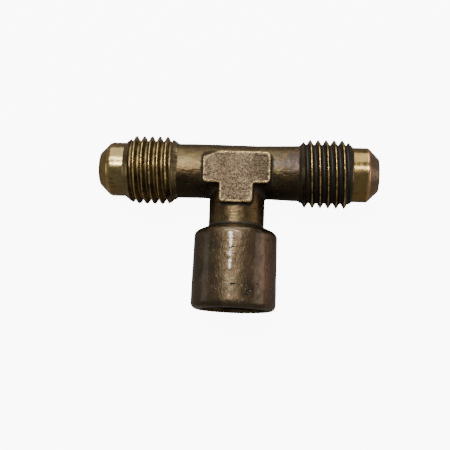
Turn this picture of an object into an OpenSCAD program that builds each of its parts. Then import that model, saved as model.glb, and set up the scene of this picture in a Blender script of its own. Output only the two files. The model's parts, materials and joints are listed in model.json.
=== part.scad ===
// Forged brass branch tee: two 45 degree male flare ends on the run and one
// female pipe-thread socket on the branch.
// +X runs along the run, the branch points to -Y, and +Z comes out of the
// front wrench pad. The origin is where the run axis crosses the branch axis.

/* [Run] */
// Length of the run, from cone tip to cone tip
run_length = 44.9; // [38:0.1:70]
// Diameter of the plain forged arms between the pads and the threads
arm_d = 8.8; // [7.4:0.1:10]
// Diameter of the drilled passage through the run and into the branch
passage_d = 4.76; // [3:0.02:6]

/* [Flare ends] */
// Major diameter of the flare thread (7/16 inch, less the usual allowance)
flare_thread_d = 11; // [10:0.05:14]
// Pitch of the flare thread (20 turns to the inch)
flare_pitch = 1.27; // [1:0.01:1.55]
// Length of the threaded blank, chamfers and all
flare_thread_length = 8.7; // [6:0.1:11]
// Length of the plain nose between the thread and the cone
nose_length = 2.4; // [1.5:0.1:5]
// How much smaller than the thread's root the nose is, on the diameter
nose_relief = 0.7; // [0.1:0.05:1]
// Width of the flat ring left at the cone's tip, around the passage
tip_land = 0.25; // [0.15:0.05:0.8]
// Half angle of the flare cone
cone_angle = 45; // [37:1:45]

/* [Branch] */
// Distance from the run axis to the mouth of the socket
branch_length = 22.4; // [19:0.1:36]
// Diameter of the forged neck
neck_d = 8.9; // [7.6:0.1:10.6]
// Diameter of the barrel at its mouth
barrel_d = 13.5; // [12.4:0.05:19]
// How much narrower the barrel is at its shoulder, from the forging draft
barrel_draft = 0.25; // [0:0.05:0.6]
// Length of the barrel, shoulder and all
barrel_length = 13.2; // [12:0.1:15]
// Slope of the shoulder, from square across to a steep cone
shoulder_angle = 24; // [10:1:45]
// Radius of the rounding where the shoulder turns into the barrel
shoulder_round = 1.1; // [0.3:0.1:1.6]
// Radius of the rounding at the mouth's outer edge
mouth_round = 1; // [0.2:0.1:1.2]

/* [Pipe thread socket] */
// Diameter of the drilled hole that the taper thread is cut into (11/32 inch)
socket_drill_d = 8.73; // [7.3:0.01:10.4]
// Depth of the drilled hole, from the mouth to where its bottom cone starts
socket_depth = 9.8; // [8:0.1:11]
// Pitch of the taper pipe thread (27 turns to the inch)
pipe_pitch = 0.941; // [0.8:0.001:1.1]
// Number of thread turns in from the countersink
pipe_turns = 7; // [4:1:8]
// Diameter of the countersink at the mouth
socket_mouth_d = 10.4; // [10:0.05:11.6]

/* [Wrench pads] */
// Distance between the two pads' flat faces
pads_across = 10.5; // [9.6:0.1:13.2]
// Length of each pad along the run
pad_length = 10.6; // [8:0.1:14]
// Distance from the run axis up to the bar's top edge
pad_rise = 2.2; // [1.6:0.1:4]
// Height of the pad's bar across the run
pad_bar = 5.1; // [3.5:0.1:7.5]
// Width of the pad's stem down the neck
pad_stem = 5.3; // [4:0.1:7.5]
// Distance from the run axis to the stem's lower edge
pad_drop = 6; // [4:0.1:8]
// Corner radius of the pad's outline
pad_corner = 0.7; // [0.2:0.1:1.2]

/* [Hidden] */

$fn = 96;
brass = "#9c8a5a";

// Cuts start and end this far outside what they cut
past = 1;
// Half the included angle of a 60 degree thread
flank_angle = 30;
// Depth of each cut thread and the flat left on its crest, as shares of the pitch
flare_depth_share = 0.6134;
flare_crest_share = 0.125;
pipe_depth_share = 0.8;
pipe_crest_share = 0.04;
// A taper pipe thread narrows 1 in 16 on its diameter, so 1 in 32 on its radius
pipe_taper = 1 / 32;
// Point angle of the drill that made the socket
drill_point = 118;
// How far a groove cutter stands out of the metal it cuts
cutter_clear = 0.1;

half_run = run_length / 2;
thread_r = flare_thread_d / 2;
thread_depth = flare_depth_share * flare_pitch;
flare_crest = flare_crest_share * flare_pitch;
flare_turns = floor(flare_thread_length / flare_pitch);
root_r = thread_r - thread_depth;
nose_r = root_r - nose_relief / 2;
tip_r = passage_d / 2 + tip_land;
cone_length = (nose_r - tip_r) / tan(cone_angle);
nose_start = half_run - cone_length - nose_length;
thread_start = nose_start - flare_thread_length;
thread_chamfer = thread_depth + nose_relief / 2;

barrel_start = branch_length - barrel_length;
barrel_root_r = (barrel_d - barrel_draft) / 2;
shoulder_rise = (barrel_root_r - neck_d / 2) * tan(shoulder_angle);
socket_r = socket_drill_d / 2;
pipe_root_r = socket_r + pipe_depth_share * pipe_pitch;
pipe_crest = pipe_crest_share * pipe_pitch;
drill_cone = (socket_r - passage_d / 2) / tan(drill_point / 2);
countersink = (socket_mouth_d - socket_drill_d) / 2;

// A solid turned about +Z, from the radius and height of each corner, lowest first
module turned(corners) {
    rotate_extrude()
        polygon(concat([[0, corners[0][1]]], corners, [[0, corners[len(corners) - 1][1]]]));
}

// Ring with a V section, at height zero, cut to floor_at from a wall at wall_r.
// The section carries on past the wall to open_r, in the air.
module groove_ring(pitch, crest, wall_r, floor_at, open_r) {
    half_at_wall = (pitch - crest) / 2;
    half_floor = half_at_wall - abs(floor_at - wall_r) * tan(flank_angle);
    half_open = half_at_wall + abs(open_r - wall_r) * tan(flank_angle);
    rotate_extrude()
        polygon([[floor_at, -half_floor], [floor_at, half_floor],
                 [open_r, half_open], [open_r, -half_open]]);
}

// Threaded blank of one flare end, along +Z, chamfered at both ends
module flare_thread() {
    first = (flare_thread_length - (flare_turns - 1) * flare_pitch) / 2;
    difference() {
        turned([[thread_r - thread_chamfer, 0],
                [thread_r, thread_chamfer],
                [thread_r, flare_thread_length - thread_chamfer],
                [thread_r - thread_chamfer, flare_thread_length]]);
        for (i = [0 : flare_turns - 1])
            translate([0, 0, first + i * flare_pitch])
                groove_ring(flare_pitch, flare_crest, thread_r, root_r, thread_r + cutter_clear);
    }
}

// Grooves of the taper pipe thread, into the socket along +Z from its mouth
module pipe_grooves() {
    for (i = [0 : pipe_turns - 1])
        let (depth = countersink + i * pipe_pitch)
        translate([0, 0, depth])
            groove_ring(pipe_pitch, pipe_crest, socket_r, pipe_root_r - depth * pipe_taper,
                        socket_r - cutter_clear);
}

// One flare end along +Z, from the run's middle to the cone's tip
module flare_end() {
    turned([[arm_d / 2, 0], [arm_d / 2, thread_start + thread_chamfer]]);
    translate([0, 0, thread_start])
        flare_thread();
    turned([[nose_r, thread_start + thread_chamfer],
            [nose_r, half_run - cone_length],
            [tip_r, half_run]]);
}

// Points on a rounded corner of a turned profile: centre, radius, first and last angle
function arc(centre, r, from_a, to_a, steps = 6) =
    [for (i = [0 : steps]) centre + r * [cos(from_a + (to_a - from_a) * i / steps),
                                         sin(from_a + (to_a - from_a) * i / steps)]];

// Outline of the neck and barrel, radius against distance from the run axis
function barrel_profile() =
    let (
        corner_y = barrel_start + shoulder_rise,
        bend = (90 - shoulder_angle) / 2,
        back = shoulder_round * tan(bend),
        round_centre = [barrel_root_r - shoulder_round, corner_y + back],
        mouth_centre = [barrel_d / 2 - mouth_round, branch_length - mouth_round]
    )
    concat(
        [[neck_d / 2, 0], [neck_d / 2, barrel_start]],
        arc(round_centre, shoulder_round, shoulder_angle - 90, 0),
        arc(mouth_centre, mouth_round, 0, 90)
    );

// Neck and barrel along +Z, from the run axis to the mouth
module branch() {
    turned(barrel_profile());
}

// A bar with rounded corners, centred across X, from one height to the next
module bar(width, from_y, to_y) {
    r = pad_corner;
    translate([-width / 2 + r, from_y])
        square([width - 2 * r, to_y - from_y]);
    translate([-width / 2, from_y + r])
        square([width, to_y - from_y - 2 * r]);
    for (x = [-width / 2 + r, width / 2 - r], y = [from_y + r, to_y - r])
        translate([x, y])
            circle(r);
}

// The T-shaped block whose two faces are the wrench pads
module wrench_pads() {
    linear_extrude(pads_across, center = true) {
        bar(pad_length, pad_rise - pad_bar, pad_rise);
        bar(pad_stem, -pad_drop, pad_rise);
    }
}

// Drilled passages and the socket's hole
module drillings() {
    socket_floor = branch_length - socket_depth;
    rotate([0, 90, 0])
        turned([[passage_d / 2, -half_run - past], [passage_d / 2, half_run + past]]);
    rotate([90, 0, 0])
        turned([[passage_d / 2, 0],
                [passage_d / 2, socket_floor - drill_cone],
                [socket_r, socket_floor],
                [socket_r, branch_length - countersink],
                [socket_r + countersink + past, branch_length + past]]);
}

module tee_body() {
    color(brass)
    difference() {
        union() {
            rotate([0, 90, 0])
                flare_end();
            rotate([0, -90, 0])
                flare_end();
            rotate([90, 0, 0])
                branch();
            wrench_pads();
        }
        drillings();
        translate([0, -branch_length, 0])
            rotate([-90, 0, 0])
                pipe_grooves();
    }
}

tee_body();
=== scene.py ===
"""Looks of an aged forged brass branch tee: two flare ends on the run, a pipe socket on the branch.

Modelling is done in millimetres, along the CAD's axes: +X along the run, the branch to -Y, +Z out
of the front wrench pad. The finished piece is brought to metres at the end.
"""

import json
import logging
import math
from contextlib import contextmanager
from dataclasses import dataclass, field
from enum import Enum
from itertools import pairwise
from typing import Callable, Iterator, Sequence

import bpy
import numpy as np
from mathutils import Matrix, Vector

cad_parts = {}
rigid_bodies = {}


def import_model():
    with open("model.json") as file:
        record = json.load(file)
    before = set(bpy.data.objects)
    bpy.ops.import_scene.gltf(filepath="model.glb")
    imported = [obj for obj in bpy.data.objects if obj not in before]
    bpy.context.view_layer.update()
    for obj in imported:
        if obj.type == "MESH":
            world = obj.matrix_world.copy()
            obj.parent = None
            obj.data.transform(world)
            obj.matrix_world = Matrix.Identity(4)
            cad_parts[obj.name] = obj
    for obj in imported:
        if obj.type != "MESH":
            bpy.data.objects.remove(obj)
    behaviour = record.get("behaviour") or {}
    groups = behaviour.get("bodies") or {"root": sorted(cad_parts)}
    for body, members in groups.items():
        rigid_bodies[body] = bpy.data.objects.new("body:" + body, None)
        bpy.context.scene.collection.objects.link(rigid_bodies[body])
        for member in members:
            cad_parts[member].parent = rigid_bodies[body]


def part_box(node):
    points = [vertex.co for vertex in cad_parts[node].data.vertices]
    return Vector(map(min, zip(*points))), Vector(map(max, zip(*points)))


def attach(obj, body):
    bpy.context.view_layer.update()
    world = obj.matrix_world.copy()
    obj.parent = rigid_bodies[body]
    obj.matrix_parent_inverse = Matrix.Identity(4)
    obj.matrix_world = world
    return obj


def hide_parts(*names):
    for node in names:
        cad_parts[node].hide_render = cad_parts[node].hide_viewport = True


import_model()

MM = 0.001
QUARTER_TURN = math.pi / 2
FULL_TURN = 2 * math.pi
# Points closer than this are one point, in millimetres
SAME_POINT = 0.002
# A 60 degree thread: its flank, and its worn crest and half its root as shares of the pitch
FLANK_ANGLE = math.radians(30)
CREST_ROUNDING = 0.075
ROOT_HALF_WIDTH = 0.09
log = logging.getLogger("tee")

Colour = tuple[float, float, float]
Triple = tuple[float, float, float]
Station = tuple[float, float]


class Axis(Enum):
    """Where a solid made along +Z is laid, as the turn that takes it there."""

    RUN_RIGHT = (0.0, QUARTER_TURN, 0.0)
    RUN_LEFT = (0.0, -QUARTER_TURN, 0.0)
    BRANCH = (QUARTER_TURN, 0.0, 0.0)


class Fit(Enum):
    """How one solid is put together with another."""

    UNION = "UNION"
    DIFFERENCE = "DIFFERENCE"
    INTERSECT = "INTERSECT"


class Area(Enum):
    """The areas of the tee that have a finish of their own, in slot order."""

    ARMS = 0
    BARREL = 1
    PADS = 2
    THREAD_LEFT = 3
    THREAD_RIGHT = 4
    NOSE_LEFT = 5
    NOSE_RIGHT = 6
    CONE_RIGHT = 7
    BORES = 8


# --- Work at the bench -------------------------------------------------------------------------


def take(piece: bpy.types.Object) -> None:
    """Lets go of everything and takes one piece in hand.

    Args:
        piece: The piece to select and make active.
    """
    bpy.ops.object.select_all(action="DESELECT")
    piece.select_set(True)
    bpy.context.view_layer.objects.active = piece


def settle(piece: bpy.types.Object) -> None:
    """Moves a piece's place, turn and scale into its mesh."""
    take(piece)
    bpy.ops.object.transform_apply(location=True, rotation=True, scale=True)


def fresh(name: str) -> bpy.types.Object:
    """Names the primitive that was just added and settles it.

    Args:
        name: The piece's name.

    Returns:
        The new object, at the origin and unturned.
    """
    piece = bpy.context.object
    piece.name = name
    settle(piece)
    return piece


@contextmanager
def editing(piece: bpy.types.Object, mode: str = "FACE") -> Iterator[None]:
    """Opens a piece in edit mode and closes it again afterwards.

    Args:
        piece: The piece to edit.
        mode: Whether VERT, EDGE or FACE is being selected.
    """
    take(piece)
    bpy.ops.object.mode_set(mode="EDIT")
    bpy.ops.mesh.select_mode(type=mode)
    yield
    bpy.ops.object.mode_set(mode="OBJECT")


def let_go(mesh: bpy.types.Mesh) -> None:
    """Lets go of every point, edge and face of a mesh in object mode."""
    for part in (mesh.vertices, mesh.edges, mesh.polygons):
        part.foreach_set("select", np.zeros(len(part), bool))


def pick_edges(piece: bpy.types.Object, wanted: Callable[[Vector, Vector], bool]) -> None:
    """Selects edges by the places of their ends, with everything else let go.

    Args:
        piece: A piece in object mode.
        wanted: Says from an edge's two ends whether it is picked.
    """
    mesh = piece.data
    let_go(mesh)
    for edge in mesh.edges:
        ends = [mesh.vertices[i].co for i in edge.vertices]
        edge.select = wanted(*ends)


def pick_faces(piece: bpy.types.Object, wanted: Callable[[Vector, Vector], bool]) -> None:
    """Selects faces by their centres and normals, with everything else let go.

    Args:
        piece: A piece in object mode.
        wanted: Says from a face's centre and normal whether it is picked.
    """
    let_go(piece.data)
    for face in piece.data.polygons:
        face.select = wanted(face.center, face.normal)


def turn_outwards(piece: bpy.types.Object) -> None:
    """Merges doubled points and points every face outwards.

    Args:
        piece: A closed solid.
    """
    with editing(piece):
        bpy.ops.mesh.select_all(action="SELECT")
        bpy.ops.mesh.remove_doubles(threshold=SAME_POINT)
        bpy.ops.mesh.normals_make_consistent(inside=False)


def lay_along(piece: bpy.types.Object, axis: Axis) -> None:
    """Turns a piece made along +Z to lie along one of the tee's axes."""
    piece.rotation_euler = axis.value
    settle(piece)


def turned(name: str, stations: Sequence[Station], sides: int) -> bpy.types.Object:
    """Turns a closed solid about +Z, one station after another.

    Args:
        name: The piece's name.
        stations: Radius and height of each station, from the lowest up.
        sides: How many sides the solid has round its axis.

    Returns:
        The turned solid.
    """
    radius, height = stations[0]
    bpy.ops.mesh.primitive_circle_add(vertices=sides, radius=radius, fill_type="NGON",
                                      location=(0, 0, height))
    piece = fresh(name)
    with editing(piece):
        bpy.ops.mesh.select_all(action="SELECT")
        for (from_r, from_h), (to_r, to_h) in pairwise(stations):
            bpy.ops.mesh.extrude_region_move(
                TRANSFORM_OT_translate={"value": (0, 0, to_h - from_h)})
            grow = to_r / from_r
            bpy.ops.transform.resize(value=(grow, grow, 1), center_override=(0, 0, to_h))
    turn_outwards(piece)
    return piece


def round_ring(piece: bpy.types.Object, station: Station, width: float, steps: int = 4) -> None:
    """Rounds the ring of edges at one station of a turned solid.

    Args:
        piece: A turned solid, still along +Z.
        station: Radius and height of the ring.
        width: How far the rounding reaches to either side.
        steps: How many facets the rounding has.
    """
    radius, height = station

    def on_ring(one: Vector, other: Vector) -> bool:
        """Says whether both ends lie on the ring."""
        return all(abs(end.z - height) < 0.01 and abs(end.xy.length - radius) < 0.02
                   for end in (one, other))

    pick_edges(piece, on_ring)
    with editing(piece, "EDGE"):
        bpy.ops.mesh.bevel(offset=width, segments=steps, profile=0.5, affect="EDGES")


def wire(name: str, points: Sequence[Station]) -> bpy.types.Object:
    """Draws a line of edges in the XZ plane, by extruding one point on and on.

    Args:
        name: The piece's name.
        points: Radius and height of each point.

    Returns:
        The line.
    """
    radius, height = points[0]
    bpy.ops.mesh.primitive_plane_add(size=0.1, location=(radius, 0, height))
    piece = fresh(name)
    with editing(piece, "VERT"):
        bpy.ops.mesh.select_all(action="SELECT")
        bpy.ops.mesh.merge(type="CENTER")
        for (from_r, from_h), (to_r, to_h) in pairwise(points):
            bpy.ops.mesh.extrude_region_move(
                TRANSFORM_OT_translate={"value": (to_r - from_r, 0, to_h - from_h)})
    return piece


def apply(piece: bpy.types.Object, modifier: bpy.types.Modifier) -> None:
    """Applies a modifier to its piece."""
    take(piece)
    bpy.ops.object.modifier_apply(modifier=modifier.name)


def join_solids(piece: bpy.types.Object, tool: bpy.types.Object, fit: Fit) -> None:
    """Adds one solid to another, cuts it away, or keeps what they share.

    Args:
        piece: The solid that is changed.
        tool: The solid that is used up.
        fit: How the two go together.
    """
    modifier = piece.modifiers.new("fit", "BOOLEAN")
    modifier.operation = fit.value
    modifier.solver = "MANIFOLD"
    modifier.object = tool
    apply(piece, modifier)
    bpy.data.objects.remove(tool)


def cap_ends(piece: bpy.types.Object, middle: float) -> None:
    """Closes both open ends of a swept thread with a fan of faces.

    Args:
        piece: The swept thread, along +Z.
        middle: A height between its two ends.
    """
    for below in (True, False):
        mesh = piece.data
        uses = np.zeros(len(mesh.edges), int)
        loops = np.zeros(len(mesh.loops), np.int32)
        mesh.loops.foreach_get("edge_index", loops)
        np.add.at(uses, loops, 1)
        rim = {mesh.edges[i].key for i in np.flatnonzero(uses == 1)}
        let_go(mesh)
        for edge in mesh.edges:
            low = mesh.vertices[edge.vertices[0]].co.z < middle
            edge.select = edge.key in rim and low == below
        with editing(piece, "EDGE"):
            bpy.ops.mesh.extrude_region_move(TRANSFORM_OT_translate={"value": (0, 0, 0)})
            bpy.ops.mesh.merge(type="COLLAPSE")


def threaded(name: str, points: Sequence[Station], turns: int, sides: int) -> bpy.types.Object:
    """Sweeps one pitch of a thread into a right-hand screw along +Z, closed at both ends.

    Args:
        name: The piece's name.
        points: Radius and height along one pitch of the thread.
        turns: How many turns the screw has.
        sides: How many steps each turn takes.

    Returns:
        The screw.
    """
    pitch = points[-1][1] - points[0][1]
    piece = wire(name, points)
    screw = piece.modifiers.new("screw", "SCREW")
    screw.angle = FULL_TURN
    screw.screw_offset = pitch
    screw.iterations = turns
    screw.steps = screw.render_steps = sides
    screw.use_smooth_shade = False
    apply(piece, screw)
    turn_outwards(piece)
    cap_ends(piece, points[0][1] + pitch * (turns + 1) / 2)
    turn_outwards(piece)
    return piece


def thread_pitch(pitch: float, root_r: float, crest_r: float, start: float) -> list[Station]:
    """Draws one pitch of a 60 degree thread with a worn, rounded crest and root.

    Args:
        pitch: Length of the pitch.
        root_r: Radius at the root.
        crest_r: Radius at the crest.
        start: Height of the root that the pitch starts at.

    Returns:
        Radius and height of each point, from root to root.
    """
    rounding = CREST_ROUNDING * pitch
    root_half = ROOT_HALF_WIDTH * pitch
    flank = (crest_r - root_r - rounding) * math.tan(FLANK_ANGLE)
    crest_half = 0.5 * pitch - flank - root_half
    rise = [(root_r, 0.0), (root_r + 0.2 * rounding, root_half),
            (crest_r - rounding, root_half + flank),
            (crest_r - 0.35 * rounding, 0.5 * pitch - 0.72 * crest_half),
            (crest_r - 0.05 * rounding, 0.5 * pitch - 0.4 * crest_half)]
    fall = [(radius, pitch - along) for radius, along in reversed(rise)]
    return [(radius, start + along) for radius, along in [*rise, (crest_r, pitch / 2), *fall]]


# --- The pieces of the forging -----------------------------------------------------------------


@dataclass
class FlareEnd:
    """One 45 degree flare end: worn thread, plain nose and cone, turned on the run's axis.

    Every length is in millimetres, measured along the run from its middle.
    """

    axis: Axis
    tip: float
    passage_r: float
    thread_r: float = 5.5
    pitch: float = 1.27
    thread_length: float = 8.7
    nose_length: float = 2.4
    nose_relief: float = 0.35
    tip_land: float = 0.25
    inner_run_out: float = 1.0
    outer_run_out: float = 1.0
    cone_edge: float = 0.12
    tip_edge: float = 0.08
    thread_phase: float = 0.0
    depth_share: float = 0.6134
    sunk_in: float = 1.5
    sides: int = 84

    @property
    def root_r(self) -> float:
        """Radius at the thread's root."""
        return self.thread_r - self.depth_share * self.pitch

    @property
    def nose_r(self) -> float:
        """Radius of the plain nose."""
        return self.root_r - self.nose_relief

    @property
    def tip_r(self) -> float:
        """Radius at the tip of the cone."""
        return self.passage_r + self.tip_land

    @property
    def cone_start(self) -> float:
        """Where the nose ends and the cone begins."""
        return self.tip - (self.nose_r - self.tip_r)

    @property
    def nose_start(self) -> float:
        """Where the thread ends and the nose begins."""
        return self.cone_start - self.nose_length

    @property
    def thread_start(self) -> float:
        """Where the thread begins, next to the arm."""
        return self.nose_start - self.thread_length

    def thread(self) -> bpy.types.Object:
        """Cuts the worn thread into its chamfered blank.

        Returns:
            The threaded length, along +Z.
        """
        rise = self.thread_r - self.nose_r
        stations = [(self.nose_r, self.thread_start),
                    (self.thread_r, self.thread_start + rise * self.inner_run_out),
                    (self.thread_r, self.nose_start - rise * self.outer_run_out),
                    (self.nose_r, self.nose_start)]
        blank = turned("blank", stations, self.sides)
        turns = math.ceil(self.thread_length / self.pitch) + 4
        start = self.thread_start + (self.thread_phase - 2.5) * self.pitch
        pitch = thread_pitch(self.pitch, self.root_r, self.thread_r, start)
        screw = threaded("screw", pitch, turns, self.sides)
        join_solids(screw, blank, Fit.INTERSECT)
        return screw

    def nose(self) -> bpy.types.Object:
        """Turns the nose and the flare cone, with both edges of the cone worn.

        Stations stand close beside each edge, so that the rest of nose and cone stays straight.

        Returns:
            The nose, along +Z.
        """
        clear = 0.04
        sloped = 0.75
        straight_to = self.cone_start - self.cone_edge - clear
        slope_from = self.cone_start + self.cone_edge * sloped + clear
        slope_to = self.tip - self.tip_edge * sloped - clear
        on_cone = self.nose_r + self.cone_start
        stations = [(self.nose_r, self.nose_start - self.sunk_in), (self.nose_r, straight_to),
                    (self.nose_r, self.cone_start), (on_cone - slope_from, slope_from),
                    (on_cone - slope_to, slope_to), (self.tip_r, self.tip)]
        nose = turned("nose", stations, self.sides)
        round_ring(nose, stations[2], self.cone_edge, 5)
        round_ring(nose, stations[5], self.tip_edge, 3)
        return nose

    def build(self) -> bpy.types.Object:
        """Puts thread and nose together and lays them along the run.

        Returns:
            The solid flare end, not yet drilled.
        """
        flare_end = self.thread()
        join_solids(flare_end, self.nose(), Fit.UNION)
        lay_along(flare_end, self.axis)
        return flare_end


@dataclass
class Arms:
    """The two plain forged arms of the run. The right one swells towards its thread."""

    left_end: float
    right_end: float
    left_r: float = 4.4
    middle_r: float = 4.3
    right_r: float = 4.5
    middle: float = 3.0
    sides: int = 72

    def build(self) -> bpy.types.Object:
        """Turns both arms as one bar.

        Returns:
            The bar, along the run.
        """
        stations = [(self.left_r, -self.left_end), (self.left_r, -self.middle),
                    (self.middle_r, self.middle), (self.right_r, self.right_end)]
        bar = turned("arms", stations, self.sides)
        lay_along(bar, Axis.RUN_RIGHT)
        return bar


@dataclass
class Barrel:
    """The neck and the barrel of the branch, forged in one with the run."""

    mouth: float
    mouth_r: float
    length: float = 13.2
    draft: float = 0.125
    neck_r: float = 4.45
    shoulder_angle: float = 24.0
    shoulder_round: float = 0.6
    mouth_round: float = 0.95
    sides: int = 96

    def build(self) -> bpy.types.Object:
        """Turns neck, shoulder and barrel, rounded at the shoulder and the mouth.

        Returns:
            The branch, along its own axis.
        """
        start = self.mouth - self.length
        shoulder_r = self.mouth_r - self.draft
        rise = (shoulder_r - self.neck_r) * math.tan(math.radians(self.shoulder_angle))
        stations = [(self.neck_r, 0.5), (self.neck_r, start), (shoulder_r, start + rise),
                    (self.mouth_r, self.mouth)]
        branch = turned("branch", stations, self.sides)
        round_ring(branch, stations[2], self.shoulder_round)
        round_ring(branch, stations[3], self.mouth_round)
        lay_along(branch, Axis.BRANCH)
        return branch


@dataclass
class WrenchPads:
    """The T-shaped block across the forging, whose two faces are the wrench pads."""

    across: float
    length: float = 10.6
    top: float = 2.2
    bar: float = 5.1
    stem: float = 5.3
    drop: float = 6.0
    corner: float = 0.65
    rim: float = 0.15
    underfill: float = 1.25

    def build(self) -> bpy.types.Object:
        """Shapes the block from a bar, with its corners rounded and one corner not filled.

        Returns:
            The block.
        """
        bottom = self.top - self.bar
        bpy.ops.mesh.primitive_cube_add(size=1, location=(0, self.top - self.bar / 2, 0),
                                        scale=(self.length, self.bar, self.across))
        block = fresh("pads")
        half_stem = self.stem / 2
        for side in (-1, 1):
            with editing(block):
                bpy.ops.mesh.select_all(action="SELECT")
                bpy.ops.mesh.bisect(plane_co=(side * half_stem, 0, 0), plane_no=(1, 0, 0))
        pick_faces(block, lambda at, out: out.y < -0.9 and abs(at.x) < half_stem)
        with editing(block):
            bpy.ops.mesh.extrude_region_move(
                TRANSFORM_OT_translate={"value": (0, -self.drop - bottom, 0)})
        turn_outwards(block)
        self.round_corners(block, bottom)
        self.leave_corner(block)
        pick_edges(block, lambda one, other: self.on_rim(one) and self.on_rim(other))
        with editing(block, "EDGE"):
            bpy.ops.mesh.bevel(offset=self.rim, segments=2, profile=0.5, affect="EDGES")
        return block

    def on_rim(self, at: Vector) -> bool:
        """Says whether a point lies on the outline of one of the two faces."""
        return abs(abs(at.z) - self.across / 2) < 0.01

    def round_corners(self, block: bpy.types.Object, bottom: float) -> None:
        """Rounds the outer corners of the T.

        Args:
            block: The block.
            bottom: Where the bar's lower edge is.
        """
        def corner(one: Vector, other: Vector) -> bool:
            """Looks for the edges that run along Z at the outer corners.

            Args:
                one: One end of the edge.
                other: The edge's other end.

            Returns:
                Whether it is such an edge.
            """
            upright = abs(one.x - other.x) < 0.01 and abs(one.y - other.y) < 0.01
            bar_end = abs(abs(one.x) - self.length / 2) < 0.01
            stem_end = abs(abs(one.x) - self.stem / 2) < 0.01 and abs(one.y + self.drop) < 0.01
            return upright and (bar_end or stem_end)

        pick_edges(block, corner)
        with editing(block, "EDGE"):
            bpy.ops.mesh.bevel(offset=self.corner, segments=4, profile=0.5, affect="EDGES")

    def leave_corner(self, block: bpy.types.Object) -> None:
        """Takes off the top left corner of the front face, where the die didn't fill.

        Args:
            block: The block.
        """
        with editing(block):
            bpy.ops.mesh.select_all(action="SELECT")
            bpy.ops.mesh.bisect(
                plane_co=(-self.length / 2, self.top - self.underfill, self.across / 2),
                plane_no=(-0.45, 1.0, 1.9), use_fill=True, clear_outer=True)


@dataclass
class Drillings:
    """The cutter that leaves the passages and the tapped pipe socket."""

    half_run: float
    mouth: float
    passage_r: float = 2.38
    drill_r: float = 4.365
    socket_depth: float = 9.8
    pitch: float = 0.941
    turns: int = 7
    mouth_r: float = 5.2
    taper: float = 1 / 32
    past: float = 1.0
    tip_flare: float = 0.1
    drill_half_angle: float = 59.0
    depth_share: float = 0.8
    sides: int = 72

    def run_passage(self) -> bpy.types.Object:
        """Makes the drill for the run, a little wider at both tips.

        Returns:
            The cutter, along the run.
        """
        wide = self.passage_r + self.past + self.tip_flare
        narrow_at = self.half_run - self.tip_flare
        beyond = self.half_run + self.past
        stations = [(wide, -beyond), (self.passage_r, -narrow_at),
                    (self.passage_r, narrow_at), (wide, beyond)]
        drill = turned("run_drill", stations, self.sides)
        lay_along(drill, Axis.RUN_RIGHT)
        return drill

    def socket(self) -> bpy.types.Object:
        """Makes the drill for the branch passage, the socket and its countersink.

        Returns:
            The cutter, along the branch.
        """
        half_angle = math.radians(self.drill_half_angle)
        cone = (self.drill_r - self.passage_r) / math.tan(half_angle)
        floor = self.mouth - self.socket_depth
        countersink = self.mouth_r - self.drill_r
        stations = [(self.passage_r, 0.0), (self.passage_r, floor - cone), (self.drill_r, floor),
                    (self.drill_r, self.mouth - countersink),
                    (self.mouth_r + self.past, self.mouth + self.past)]
        drill = turned("socket_drill", stations, self.sides)
        lay_along(drill, Axis.BRANCH)
        return drill

    def tap(self) -> bpy.types.Object:
        """Makes the taper tap that cuts the pipe thread.

        Returns:
            The cutter, along the branch.
        """
        root_r = self.drill_r + self.depth_share * self.pitch
        length = (self.turns + 1) * self.pitch
        outside, lead = 0.5, 0.8
        points = thread_pitch(self.pitch, self.drill_r - 0.1, root_r, -2 * self.pitch)
        tap = threaded("tap", points, self.turns + 5, self.sides)
        blank = turned("tap_blank", [(root_r, -outside), (root_r, length - lead),
                                     (self.drill_r - 0.2, length)], self.sides)
        join_solids(tap, blank, Fit.INTERSECT)
        narrow = tap.modifiers.new("narrow", "SIMPLE_DEFORM")
        narrow.deform_method = "TAPER"
        narrow.deform_axis = "Z"
        narrow.factor = -(length + outside) * self.taper / root_r
        apply(tap, narrow)
        tap.rotation_euler = (math.pi, 0, 0)
        tap.location = (0, 0, self.mouth)
        settle(tap)
        lay_along(tap, Axis.BRANCH)
        return tap

    def build(self) -> bpy.types.Object:
        """Puts the three cutters together.

        Returns:
            One cutter for all the drilled and tapped holes.
        """
        cutter = self.socket()
        join_solids(cutter, self.tap(), Fit.UNION)
        join_solids(cutter, self.run_passage(), Fit.UNION)
        return cutter


@dataclass(frozen=True)
class Nick:
    """A small cut from years of use, on a round surface.

    Args:
        along: Where it is along the surface's axis.
        around: Degrees round from the front.
        slant: Degrees that it leans from straight across.
        length: Length of the cut.
        width: Width of the cut.
        depth: Depth of the cut.
    """

    along: float
    around: float
    slant: float
    length: float
    width: float
    depth: float

    def cutter(self, radius: float, axis: Axis) -> bpy.types.Object:
        """Makes the spindle that leaves this nick in a surface round one of the tee's axes.

        Args:
            radius: Radius of the surface there.
            axis: The axis that the surface goes round.

        Returns:
            The spindle, in its place on the tee.
        """
        bpy.ops.mesh.primitive_uv_sphere_add(segments=10, ring_count=8, radius=0.5)
        spindle = fresh("nick")
        spindle.scale = (2 * self.depth, self.length, self.width)
        spindle.rotation_euler = (math.radians(self.slant), 0, 0)
        spindle.location = (radius, 0, self.along)
        settle(spindle)
        front = QUARTER_TURN if axis is Axis.BRANCH else 0.0
        spindle.rotation_euler = (0, 0, front + math.radians(self.around))
        settle(spindle)
        lay_along(spindle, axis)
        return spindle


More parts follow.
